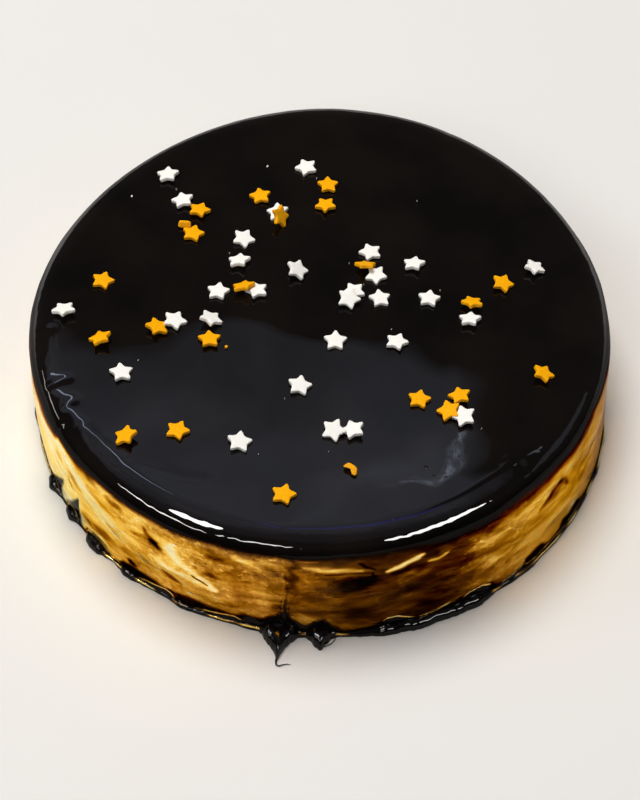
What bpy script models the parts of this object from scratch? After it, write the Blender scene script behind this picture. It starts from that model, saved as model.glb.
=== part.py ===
"""Round chocolate cake under a poured mirror glaze, as one solid.

Blender 4.5, metres, +Z up.  The origin is the middle of the flat base.
The camera side of the cake is -Y.

The body is a turned profile: flat base, a bead of run-down glaze round the
foot, an upright wall, a soft rounded edge and a flat top.  The turned shape is
then made as uneven as a poured cake is: a little out of round, the wall
leaning out to the front right, and the bead of glaze at the foot swelling into
blobs and two runs where it dripped.
"""

import math

import bpy
from mathutils import Vector

MM = 0.001

# ---------------------------------------------------------------- main sizes
CAKE_R = 102.1 * MM        # middle radius of the glazed wall under the edge
CAKE_H = 48.5 * MM         # base to top
EDGE_R = 9.2 * MM          # rounding between wall and top
FOOT_R = 102.4 * MM        # middle radius of the wall where it meets the base
FOOT_LEAN = 1.4 * MM       # how far the foot steps out on its fuller side
FOOT_LEAN_AT = 322.0       # degrees, the fuller side (front right)

# out-of-roundness of the edge, (waves round the cake, cosine, sine)
ROUND_WAVES = (
    (2, -0.4 * MM, 1.2 * MM),
    (3, -0.1 * MM, -0.7 * MM),
    (4, 0.3 * MM, -0.2 * MM),
)

# broad swells of the wall, (waves round, waves up, phase in degrees, depth)
WALL_SWELLS = (
    (5, 0.8, 40.0, 0.30 * MM),
    (9, 1.4, 155.0, 0.22 * MM),
    (14, 1.9, 265.0, 0.14 * MM),
)

# ------------------------------------------------------- glaze at the foot
BEAD_REACH = 1.0 * MM      # nominal reach of the bead in the turned profile
BEAD_H = 2.0 * MM          # nominal height of the bead in the turned profile
BEAD_MIN = 0.7 * MM        # thinnest reach of the bead
BEAD_RISE = 1.3 * MM       # height of the bead where it is thinnest
BEAD_RISE_PER_REACH = 0.52  # a fatter bead also stands higher
BEAD_RISE_MAX = 4.2 * MM

# blobs and runs of the bead, (degrees round, extra reach, half width degrees)
BLOBS = (
    (14.0, 0.9 * MM, 6.0),
    (36.0, 1.5 * MM, 5.5),
    (58.0, 0.6 * MM, 7.0),
    (77.0, 1.2 * MM, 6.0),
    (97.0, 1.8 * MM, 5.0),
    (122.0, 0.8 * MM, 8.0),
    (144.0, 1.6 * MM, 5.5),
    (166.0, 1.0 * MM, 6.0),
    (186.0, 1.2 * MM, 4.5),
    (204.6, 2.3 * MM, 1.9),
    (212.8, 2.1 * MM, 1.8),
    (222.2, 2.8 * MM, 2.2),
    (230.6, 2.0 * MM, 1.5),
    (244.2, 1.6 * MM, 2.4),
    (261.9, 3.4 * MM, 2.0),
    (264.3, 9.6 * MM, 0.75),
    (271.3, 5.8 * MM, 1.4),
    (284.0, 1.0 * MM, 5.0),
    (300.0, 2.2 * MM, 4.6),
    (317.0, 0.9 * MM, 8.0),
    (338.0, 0.9 * MM, 7.0),
)

# --------------------------------------------------------------- fineness
TURN_STEPS = 180
FRONT_AT = 268.0           # degrees; the facets are finest here, at the runs
FRONT_CROWD = 0.55         # 0 spreads the facets evenly
EDGE_STEPS = 7
WALL_STEPS = 6
BEAD_STEPS = 4


def turned_profile():
    """(radius, height) from the middle of the top, down the outside, to the middle of the base."""
    points = [(0.0, CAKE_H), (0.62 * CAKE_R, CAKE_H)]
    for i in range(EDGE_STEPS + 1):
        a = 0.5 * math.pi * i / EDGE_STEPS
        points.append((CAKE_R - EDGE_R + EDGE_R * math.sin(a),
                       CAKE_H - EDGE_R + EDGE_R * math.cos(a)))
    top, bottom = CAKE_H - EDGE_R, BEAD_H
    for i in range(1, WALL_STEPS + 1):
        points.append((CAKE_R, top + (bottom - top) * i / WALL_STEPS))
    for i in range(1, BEAD_STEPS + 1):
        a = 0.5 * math.pi * i / BEAD_STEPS
        points.append((CAKE_R + BEAD_REACH * math.sin(a), BEAD_H * math.cos(a)))
    points.append((0.0, 0.0))
    return points


def angle_gap(a, b):
    """Signed difference of two angles in degrees, from -180 to 180."""
    return (a - b + 180.0) % 360.0 - 180.0


def crowd_front(degrees):
    """Draws evenly spaced facets together at the front, where the glaze ran."""
    u = math.radians(angle_gap(degrees, FRONT_AT))
    return FRONT_AT + math.degrees(u - FRONT_CROWD * math.sin(u))


def edge_radius(degrees):
    """Radius of the cake's edge at this angle."""
    t = math.radians(degrees)
    return CAKE_R + sum(c * math.cos(k * t) + s * math.sin(k * t) for k, c, s in ROUND_WAVES)


def foot_radius(degrees):
    """Radius of the wall where it meets the base."""
    return FOOT_R + FOOT_LEAN * math.cos(math.radians(degrees - FOOT_LEAN_AT))


def wall_swell(degrees, height):
    """Shallow hollows and swells of the poured wall, none at its foot."""
    t = math.radians(degrees)
    up = height / CAKE_H
    fade = math.sin(math.pi * min(1.0, max(0.0, up)))
    return fade * sum(
        depth * math.cos(k * t + math.radians(phase) + 2.0 * math.pi * rise * up)
        for k, rise, phase, depth in WALL_SWELLS
    )


def bead_reach(degrees):
    """How far the run-down glaze stands out from the foot of the wall."""
    reach = BEAD_MIN
    for at, extra, half in BLOBS:
        gap = angle_gap(degrees, at) / half
        reach += extra * math.exp(-gap * gap)
    return reach


def bead_rise(degrees):
    """How high the run-down glaze stands against the wall."""
    return min(BEAD_RISE_MAX, BEAD_RISE + BEAD_RISE_PER_REACH * (bead_reach(degrees) - BEAD_MIN))


def poured(co):
    """Moves a point of the turned body to its place on the poured cake."""
    r, z = math.hypot(co.x, co.y), co.z
    if r < 1e-7:
        return co.copy()
    deg = crowd_front(math.degrees(math.atan2(co.y, co.x)))
    rise = bead_rise(deg)
    if r > CAKE_R + 1e-6 or z < BEAD_H + 1e-6:      # the bead, down to the base
        share = (r - CAKE_R) / BEAD_REACH
        new_r = foot_radius(deg) + share * bead_reach(deg)
        new_z = z / BEAD_H * rise
    else:
        if z < CAKE_H - EDGE_R:                     # the wall stands on the bead
            z = rise + (z - BEAD_H) * (CAKE_H - EDGE_R - rise) / (CAKE_H - EDGE_R - BEAD_H)
        up = min(1.0, z / (CAKE_H - EDGE_R))
        out = (foot_radius(deg) * (1.0 - up) + edge_radius(deg) * up) - CAKE_R
        out += wall_swell(deg, z)
        new_r, new_z = r + out * (r / CAKE_R) ** 2, z
    t = math.radians(deg)
    return Vector((new_r * math.cos(t), new_r * math.sin(t), new_z))


def clear_scene():
    for ob in list(bpy.data.objects):
        bpy.data.objects.remove(ob, do_unlink=True)


def glaze_material():
    mat = bpy.data.materials.new("chocolate_glaze")
    mat.use_nodes = True
    bsdf = mat.node_tree.nodes["Principled BSDF"]
    bsdf.inputs["Base Color"].default_value = (0.018, 0.011, 0.008, 1.0)
    bsdf.inputs["Roughness"].default_value = 0.06
    bsdf.inputs["Metallic"].default_value = 0.0
    return mat


def turn(name, points, steps, parent_collection):
    """A profile turned round +Z, returned as a plain mesh object."""
    mesh = bpy.data.meshes.new(name + "_profile")
    mesh.from_pydata([(r, 0.0, z) for r, z in points],
                     [(i, i + 1) for i in range(len(points) - 1)], [])
    guide = bpy.data.objects.new(name + "_profile", mesh)
    parent_collection.objects.link(guide)
    screw = guide.modifiers.new("turn", "SCREW")
    screw.axis = "Z"
    screw.angle = 2.0 * math.pi
    screw.steps = screw.render_steps = steps
    screw.use_merge_vertices = True
    screw.merge_threshold = 0.00001
    bpy.context.view_layer.update()
    evaluated = guide.evaluated_get(bpy.context.evaluated_depsgraph_get())
    turned = bpy.data.meshes.new_from_object(evaluated)
    turned.name = name
    bpy.data.objects.remove(guide, do_unlink=True)
    ob = bpy.data.objects.new(name, turned)
    parent_collection.objects.link(ob)
    return ob


def main():
    clear_scene()
    home = bpy.data.collections.new("chocolate_cake")
    bpy.context.scene.collection.children.link(home)

    cake = turn("cake", turned_profile(), TURN_STEPS, home)
    for v in cake.data.vertices:
        v.co = poured(v.co)
    cake.data.update()
    cake.data.shade_smooth()
    cake.data.set_sharp_from_angle(angle=math.radians(40.0))
    cake.data.materials.clear()
    cake.data.materials.append(glaze_material())
    return cake


main()
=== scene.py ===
"""Looks of the round chocolate cake under a poured mirror glaze, with star sprinkles.

Metres, +Z up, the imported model's own frame.  The shape functions repeat the
named sizes of the construction, because this file stands alone, and add the
fine relief of the glaze: the flow of the top, the skin folds inside the left
edge, the swells and dimples of the wall, and the beads and runs at the foot.
"""

import math

import bpy
import numpy as np
from mathutils import Matrix, Vector


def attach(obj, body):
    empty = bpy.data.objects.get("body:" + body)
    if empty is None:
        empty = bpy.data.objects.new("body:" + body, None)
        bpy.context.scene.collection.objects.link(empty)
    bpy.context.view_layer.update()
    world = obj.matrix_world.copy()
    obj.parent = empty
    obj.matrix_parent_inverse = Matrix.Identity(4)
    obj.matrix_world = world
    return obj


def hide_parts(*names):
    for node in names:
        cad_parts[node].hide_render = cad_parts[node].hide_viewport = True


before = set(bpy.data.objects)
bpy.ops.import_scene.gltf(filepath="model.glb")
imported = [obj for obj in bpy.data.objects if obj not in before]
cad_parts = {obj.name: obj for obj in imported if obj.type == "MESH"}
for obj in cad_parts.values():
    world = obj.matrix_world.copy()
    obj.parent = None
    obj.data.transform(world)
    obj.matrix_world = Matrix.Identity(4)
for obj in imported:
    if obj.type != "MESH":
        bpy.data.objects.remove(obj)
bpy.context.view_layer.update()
scene = bpy.context.scene

MM = 0.001
TAU = 2.0 * math.pi

# ------------------------------------------------------------------ the cake
CAKE_R = 102.1             # millimetres from here on, metres only at the end
CAKE_H = 48.5
EDGE_R = 9.2
FOOT_R = 102.4
FOOT_LEAN, FOOT_LEAN_AT = 1.4, 322.0
ROUND_WAVES = ((2, -0.4, 1.2), (3, -0.1, -0.7), (4, 0.3, -0.2))
WALL_SWELLS = ((5, 0.8, 40.0, 0.30), (9, 1.4, 155.0, 0.22), (14, 1.9, 265.0, 0.14))
WALL_TOP = CAKE_H - EDGE_R
SHOULDER = WALL_TOP + EDGE_R * math.pi / 2.0       # where the flat top begins, along the profile

BEAD_MIN = 0.50
BEAD_RISE, BEAD_RISE_PER_REACH, BEAD_RISE_MAX = 0.95, 0.85, 5.0
# blobs of the side away from the camera, (degrees round, extra reach, half width in degrees)
BLOBS = (
    (14.0, 0.9, 6.0), (36.0, 1.5, 5.5), (58.0, 0.6, 7.0), (77.0, 1.2, 6.0),
    (97.0, 1.8, 5.0), (122.0, 0.8, 8.0), (144.0, 1.6, 5.5), (166.0, 1.0, 6.0),
    (186.0, 1.2, 4.5), (342.0, 0.5, 5.0), (351.0, 0.7, 3.0), (196.0, 0.5, 3.0),
)
# how far the glaze ran out on the camera's side, (degrees round, reach)
RUN_OUT = (
    (194.0, 0.6), (202.2, 0.5), (203.6, 2.0), (205.4, 2.6), (207.2, 1.2), (208.8, 0.45), (210.8, 0.45),
    (212.1, 1.7), (213.8, 2.2), (215.6, 0.7), (217.3, 0.35), (218.6, 0.45), (220.3, 2.1), (221.9, 2.7),
    (223.4, 2.5), (225.0, 1.3), (227.3, 0.5), (229.3, 1.1), (230.9, 2.1), (232.3, 1.8), (234.7, 1.1),
    (238.0, 0.5), (240.8, 0.45), (242.3, 0.9), (243.6, 1.5), (247.2, 1.1), (251.6, 0.65), (255.0, 0.6),
    (257.2, 1.0), (259.6, 1.0), (260.3, 1.7), (261.2, 3.9), (262.1, 5.9), (262.9, 7.3), (263.4, 8.7),
    (263.75, 10.7), (264.0, 11.1), (264.25, 9.9), (264.6, 7.7), (265.2, 5.7), (266.1, 3.6), (267.4, 1.5),
    (268.5, 1.3), (269.4, 2.5), (270.5, 5.1), (271.2, 6.2), (271.5, 6.0), (272.4, 3.8), (273.5, 1.7),
    (274.8, 1.0), (277.0, 1.1), (279.6, 1.5), (283.3, 2.2), (286.1, 2.2), (289.8, 2.7), (293.9, 2.3),
    (298.0, 2.4), (302.0, 2.6), (304.6, 1.6), (307.0, 0.9), (311.0, 1.3), (315.0, 1.5), (319.0, 0.8),
    (325.0, 0.9), (332.0, 1.0), (340.0, 0.8),
)
# how high the painted brown shade stands above the foot, (degrees round, height)
DARK_FOOT = (
    (0.0, 2.0), (14.0, 4.6), (24.0, 1.8), (36.0, 5.4), (47.0, 2.0), (58.0, 3.4), (68.0, 1.6), (77.0, 5.0),
    (86.0, 2.0), (97.0, 5.8), (108.0, 2.0), (122.0, 3.8), (133.0, 1.8), (144.0, 5.4), (155.0, 2.0),
    (166.0, 4.2), (176.0, 1.8), (186.0, 4.8), (193.0, 1.6), (202.0, 1.4), (204.2, 5.4), (206.0, 5.8),
    (208.6, 1.2), (210.9, 1.2), (212.4, 6.0), (214.2, 6.6), (216.0, 1.8), (218.2, 1.2), (219.2, 4.6),
    (222.4, 4.8), (225.6, 2.0), (228.6, 2.6), (230.4, 5.4), (233.0, 6.2), (236.6, 6.2), (240.2, 5.0),
    (241.6, 5.6), (246.0, 6.0), (250.4, 5.6), (254.6, 5.0), (257.0, 7.0), (259.6, 6.4), (262.4, 9.4),
    (264.4, 11.4), (266.2, 8.6), (268.4, 5.2), (270.3, 7.8), (272.0, 9.4), (273.9, 5.2), (276.0, 2.6),
    (281.0, 2.4), (283.2, 6.4), (286.2, 6.8), (289.6, 4.0), (293.0, 3.6), (297.0, 4.4), (299.2, 5.8),
    (302.0, 6.6), (305.6, 5.6), (307.6, 2.0), (313.6, 1.8), (314.8, 5.4), (318.6, 6.2), (321.2, 3.0),
    (324.8, 3.0), (326.4, 6.2), (329.0, 4.8), (331.8, 6.4), (334.0, 3.0), (337.0, 1.4), (345.0, 1.6),
)
# how high the glaze is black there, (degrees round, height)
BLACK_FOOT = (
    (0.0, 1.0), (14.0, 3.4), (24.0, 1.0), (36.0, 4.2), (47.0, 1.1), (58.0, 2.2), (68.0, 0.9), (77.0, 3.8),
    (86.0, 1.1), (97.0, 4.6), (108.0, 1.1), (122.0, 2.4), (133.0, 1.0), (144.0, 4.2), (155.0, 1.1),
    (166.0, 2.8), (176.0, 0.9), (186.0, 3.6), (193.0, 0.8), (202.0, 0.6), (204.0, 5.0), (206.0, 5.4),
    (208.4, 0.6), (210.9, 0.6), (212.4, 5.6), (214.2, 6.2), (215.9, 1.0), (218.4, 0.7), (219.4, 3.8),
    (222.0, 4.0), (224.6, 0.9), (229.0, 0.8), (230.6, 1.6), (232.4, 1.4), (233.6, 0.5), (236.0, 2.6),
    (240.4, 4.0), (241.8, 2.8), (242.4, 0.8), (246.0, 0.6), (250.5, 2.4), (254.8, 3.9), (256.2, 3.2),
    (257.2, 6.2), (258.6, 6.4), (260.0, 4.4), (262.4, 9.0), (264.4, 11.2), (266.2, 8.2), (268.4, 5.0),
    (270.3, 7.6), (272.0, 9.2), (273.9, 5.0), (274.9, 1.9), (279.0, 1.5), (282.4, 1.6), (283.6, 6.0),
    (285.6, 6.5), (287.4, 5.0), (290.0, 3.0), (293.0, 2.9), (296.4, 3.8), (298.6, 3.0), (299.6, 4.8),
    (301.4, 6.0), (304.0, 5.8), (306.2, 2.0), (309.0, 1.0), (313.6, 1.0), (315.2, 1.0), (321.0, 1.2),
    (327.0, 0.8), (345.0, 0.8),
)
# pointed leaves of black glaze standing on the foot, (path in degrees and mm, half width mm at foot and tip)
FOOT_LEAVES = (
    (((205.4, 0.0), (207.9, 7.5), (210.9, 15.8)), 7.0, 0.4), (((213.8, 0.0), (215.3, 8.0), (217.0, 17.4)), 7.6, 0.4),
)
# painted highlights: thin bright outlines of the foot, (path in degrees and mm, half width mm)
FOOT_HIGHLIGHT_LINES = (
    (((233.2, 0.9), (236.0, 3.1), (240.4, 4.5), (241.9, 3.4), (242.3, 1.0)), 0.30),
    (((245.6, 0.9), (250.5, 2.9), (254.8, 4.4), (256.6, 3.0)), 0.30),
    (((226.0, 1.2), (228.4, 2.6), (230.2, 1.0)), 0.26), (((202.6, 1.2), (204.4, 5.3), (206.2, 5.7), (207.8, 2.0)), 0.24),
    (((211.2, 1.0), (212.4, 5.9), (214.3, 6.5), (215.8, 1.6)), 0.24), (((218.6, 1.0), (219.6, 4.1), (222.2, 4.3), (224.6, 1.4)), 0.24),
    (((283.0, 5.4), (284.0, 6.8), (286.0, 6.8), (287.6, 5.4), (290.0, 3.6)), 0.27),
    (((290.0, 3.7), (293.2, 4.2), (296.8, 5.9)), 0.52),
    (((299.4, 4.9), (301.0, 6.2), (304.0, 6.1), (305.9, 4.4)), 0.30), (((308.2, 2.0), (314.0, 2.5)), 0.55),
    (((314.4, 3.0), (315.2, 1.5), (321.5, 2.0), (327.5, 1.2)), 0.30), (((328.0, 1.4), (336.0, 1.4)), 0.26),
    (((142.0, 3.6), (144.0, 4.6), (147.0, 3.6)), 0.26), (((94.0, 3.4), (97.0, 5.0), (100.0, 3.6)), 0.26),
    (((33.0, 3.0), (36.0, 4.6), (39.0, 3.2)), 0.26), (((160.0, 1.6), (166.0, 3.1), (171.0, 1.6)), 0.26),
)


def gap(a, b):
    """Signed difference of angles in degrees."""
    return (a - b + 180.0) % 360.0 - 180.0


def smooth(lo, hi, v):
    t = np.clip((v - lo) / (hi - lo), 0.0, 1.0)
    return t * t * (3.0 - 2.0 * t)


def edge_radius(deg):
    t = np.radians(deg)
    return CAKE_R + sum(c * np.cos(k * t) + s * np.sin(k * t) for k, c, s in ROUND_WAVES)


def foot_radius(deg):
    return FOOT_R + FOOT_LEAN * np.cos(np.radians(deg - FOOT_LEAN_AT))


def wall_swell(deg, z):
    t = np.radians(deg)
    up = z / CAKE_H
    fade = np.sin(math.pi * np.clip(up, 0.0, 1.0))
    return fade * sum(d * np.cos(k * t + math.radians(p) + TAU * rise * up)
                      for k, rise, p, d in WALL_SWELLS)


def periodic(deg, knots):
    """Smooth closed curve through (degrees, value) knots."""
    k = np.array(sorted(knots))
    a = np.r_[k[-1, 0] - 360.0, k[:, 0], k[0, 0] + 360.0]
    v = np.r_[k[-1, 1], k[:, 1], k[0, 1]]
    d = np.mod(deg, 360.0)
    i = np.clip(np.searchsorted(a, d, side="right") - 1, 0, len(a) - 2)
    t = (d - a[i]) / (a[i + 1] - a[i])
    t = t * t * (3.0 - 2.0 * t)
    return v[i] * (1.0 - t) + v[i + 1] * t


def bead_reach(deg):
    far = BEAD_MIN + 0.16 * np.cos(np.radians(deg * 23.0 + 40.0)) + 0.10 * np.cos(np.radians(deg * 41.0))
    for at, extra, half in BLOBS:
        far = far + extra * np.exp(-(gap(deg, at) / half) ** 2)
    near = 1.0 - smooth(66.0, 75.0, np.abs(gap(deg, 269.0)))
    return far * (1.0 - near) + periodic(deg, RUN_OUT) * near


def bead_rise(deg):
    reach = bead_reach(deg)
    rise = BEAD_RISE + BEAD_RISE_PER_REACH * (reach - BEAD_MIN)
    rise = rise + 0.14 * (periodic(deg, BLACK_FOOT) - 1.0)
    return np.clip(rise, 0.8, BEAD_RISE_MAX)


# ----------------------------------------------------- relief of the glaze
def plane_waves(x, y, seed, count, longest, shortest, height):
    """Sum of gentle waves in all directions; height is the amplitude of the longest."""
    rng = np.random.RandomState(seed)
    out = np.zeros_like(x)
    for i in range(count):
        lam = longest * (shortest / longest) ** (i / max(1, count - 1))
        a, ph = rng.uniform(0, TAU, 2)
        out += height * (lam / longest) ** 1.35 * np.sin(TAU / lam * (x * math.cos(a) + y * math.sin(a)) + ph)
    return out


def ring_waves(deg, s, seed, count, k_lo, k_hi, lam_lo, lam_hi):
    """Waves round the wall, long sideways and short up and down; about 1 at most."""
    rng = np.random.RandomState(seed)
    t = np.radians(deg)
    out = np.zeros_like(deg)
    for _ in range(count):
        k = rng.randint(k_lo, k_hi + 1)
        lam = rng.uniform(lam_lo, lam_hi)
        slant = rng.choice((-1.0, 1.0))
        out += np.cos(k * t + slant * TAU * s / lam + rng.uniform(0, TAU))
    return out / math.sqrt(count)


def path_distance(x, y, path):
    """Distance to a broken line, and how far along it from 0 to 1."""
    best = np.full(x.shape, 1e9)
    along = np.zeros(x.shape)
    n = len(path) - 1
    for i in range(n):
        (ax, ay), (bx, by) = path[i], path[i + 1]
        dx, dy = bx - ax, by - ay
        t = np.clip(((x - ax) * dx + (y - ay) * dy) / (dx * dx + dy * dy), 0.0, 1.0)
        d = np.hypot(x - ax - t * dx, y - ay - t * dy)
        near = d < best
        best = np.where(near, d, best)
        along = np.where(near, (i + t) / n, along)
    return best, along


def fold(x, y, path, width, height):
    """A soft ridge along a path, fading out at both ends."""
    d, a = path_distance(x, y, path)
    return height * np.exp(-(d / width) ** 2) * np.clip(4.0 * a, 0, 1) * np.clip(4.0 * (1.0 - a), 0, 1)


TOP_FOLDS = (
    # (path in mm, half width, height)
    (((-92, -36), (-88.5, -39), (-84, -47), (-79, -54), (-71, -61), (-64, -66)), 1.5, 0.16),
    (((-92, 18), (-87.5, 31), (-80, 43.5), (-69, 57)), 1.7, 0.15),
    (((60, -66), (68, -59), (77, -50)), 1.4, 0.03),
    (((-22, -93), (-4, -95.5), (14, -95)), 2.0, 0.07),
    (((-63, -67), (-45, -74), (-30, -76)), 2.0, 0.05),
)
# radial folds just inside the edge, (degrees, depth, half width mm, from, to along the profile)
SKIN_FOLDS = (
    (201.2, 0.26, 1.5, 46.5, 58.5), (207.2, 0.24, 2.2, 47.5, 58.0), (210.6, 0.20, 0.7, 40.0, 51.5),
    (213.6, 0.12, 1.5, 47.0, 56.0), (219.5, 0.08, 2.6, 48.0, 58.0), (226.0, 0.05, 2.4, 49.0, 58.0),
    (252.6, 0.06, 1.2, 43.0, 50.0), (266.9, 0.05, 0.9, 42.0, 49.0),
    (187.0, 0.12, 1.7, 47.0, 56.0), (146.0, 0.10, 2.0, 46.0, 56.0), (63.0, 0.10, 2.6, 44.0, 57.0),
    (35.0, 0.16, 1.5, 43.0, 56.0), (15.0, 0.10, 2.2, 45.0, 57.0), (105.0, 0.09, 2.0, 45.0, 56.0),
    (316.0, 0.07, 1.8, 47.0, 56.0),
)
# dents of the wall, (degrees, along the profile, half width mm, half height mm, depth)
WALL_DENTS = (
    (276.6, 29.3, 3.0, 3.6, 0.75), (238.0, 31.0, 2.4, 4.0, 0.35), (322.0, 29.5, 4.0, 3.0, 0.40),
    (249.5, 19.0, 2.6, 1.6, 0.25), (241.5, 14.0, 3.0, 2.0, 0.20), (213.0, 22.0, 1.6, 2.2, 0.30),
    (300.0, 12.0, 6.0, 5.0, 0.20), (150.0, 26.0, 4.0, 3.5, 0.45), (96.0, 18.0, 5.0, 3.0, 0.40),
    (52.0, 30.0, 3.5, 3.5, 0.45), (12.0, 20.0, 5.0, 3.0, 0.35), (178.0, 15.0, 3.0, 4.0, 0.30),
)


def relief(x, y, deg, s):
    """Millimetres that the glaze stands out along its own normal."""
    top = smooth(SHOULDER - 6.0, SHOULDER + 1.0, s)
    side = 1.0 - smooth(WALL_TOP - 2.0, WALL_TOP + 8.0, s)
    d = top * (plane_waves(x, y, 11, 9, 95.0, 34.0, 0.055) + plane_waves(x, y, 5, 8, 26.0, 12.0, 0.0035))
    for path, width, height in TOP_FOLDS:
        d = d + top * fold(x, y, path, width, height)
    r = np.hypot(x, y)
    for at, depth, half, lo, hi in SKIN_FOLDS:
        across = np.radians(gap(deg, at)) * r
        band = smooth(lo, lo + 3.0, s) * (1.0 - smooth(hi - 5.0, hi, s))
        d = d - depth * np.exp(-(across / half) ** 2) * band
    # wandering lip of the glaze round the rounded edge
    lip = np.exp(-((s - 49.5 - 0.8 * np.sin(np.radians(deg * 3.0))) / 3.2) ** 2)
    d = d + lip * (0.07 * np.cos(np.radians(deg * 11.0 + 25.0)) + 0.05 * np.cos(np.radians(deg * 19.0 + 80.0))
                   + 0.03 * np.cos(np.radians(deg * 37.0 + 10.0)))
    band = smooth(43.0, 45.5, s) * (1.0 - smooth(50.5, 53.5, s))
    d = d + band * 0.011 * ring_waves(deg, s, 51, 34, 50, 170, 2.2, 6.0)
    # the wall
    flow = 0.16 * ring_waves(deg, s, 21, 26, 4, 22, 11.0, 30.0) + 0.05 * ring_waves(deg, s, 22, 30, 18, 60, 6.0, 13.0)
    d = d + side * smooth(0.0, 6.0, s) * flow
    for at, up, wide, tall, depth in WALL_DENTS:
        across = np.radians(gap(deg, at)) * r
        d = d - side * depth * np.exp(-(across / wide) ** 2 - ((s - up) / tall) ** 2)
    crease = np.radians(gap(deg, 264.8 + 0.25 * np.sin(s * 0.31))) * r
    deep = 0.12 + 0.34 * (1.0 - smooth(17.0, 24.0, s))
    d = d - side * deep * np.exp(-(crease / 0.65) ** 2) * smooth(3.0, 8.0, s) * (1.0 - smooth(34.0, 41.0, s))
    return d


# ---------------------------------------------------- the painted reflection of the gold board on the wall
# painted reflection of the gold board: how light the wall is round the cake, (degrees, 0 dark brown to 1 pale gold)
TONE_ROUND = (
    (8.0, 0.50), (30.0, 0.66), (52.0, 0.50), (75.0, 0.34), (97.0, 0.46), (120.0, 0.66), (142.0, 0.72),
    (162.0, 0.58), (180.0, 0.70), (193.0, 0.92), (202.0, 1.0), (212.0, 0.94), (219.0, 0.86), (226.0, 0.76),
    (234.0, 0.68), (240.0, 0.69), (246.0, 0.67), (251.0, 0.57), (257.0, 0.51), (262.0, 0.45), (267.0, 0.38),
    (272.0, 0.30), (278.0, 0.18), (284.0, 0.16), (291.0, 0.155), (297.0, 0.22), (303.0, 0.36), (309.0, 0.50),
    (316.0, 0.60), (326.0, 0.60), (336.0, 0.56), (345.0, 0.52),
)
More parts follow.
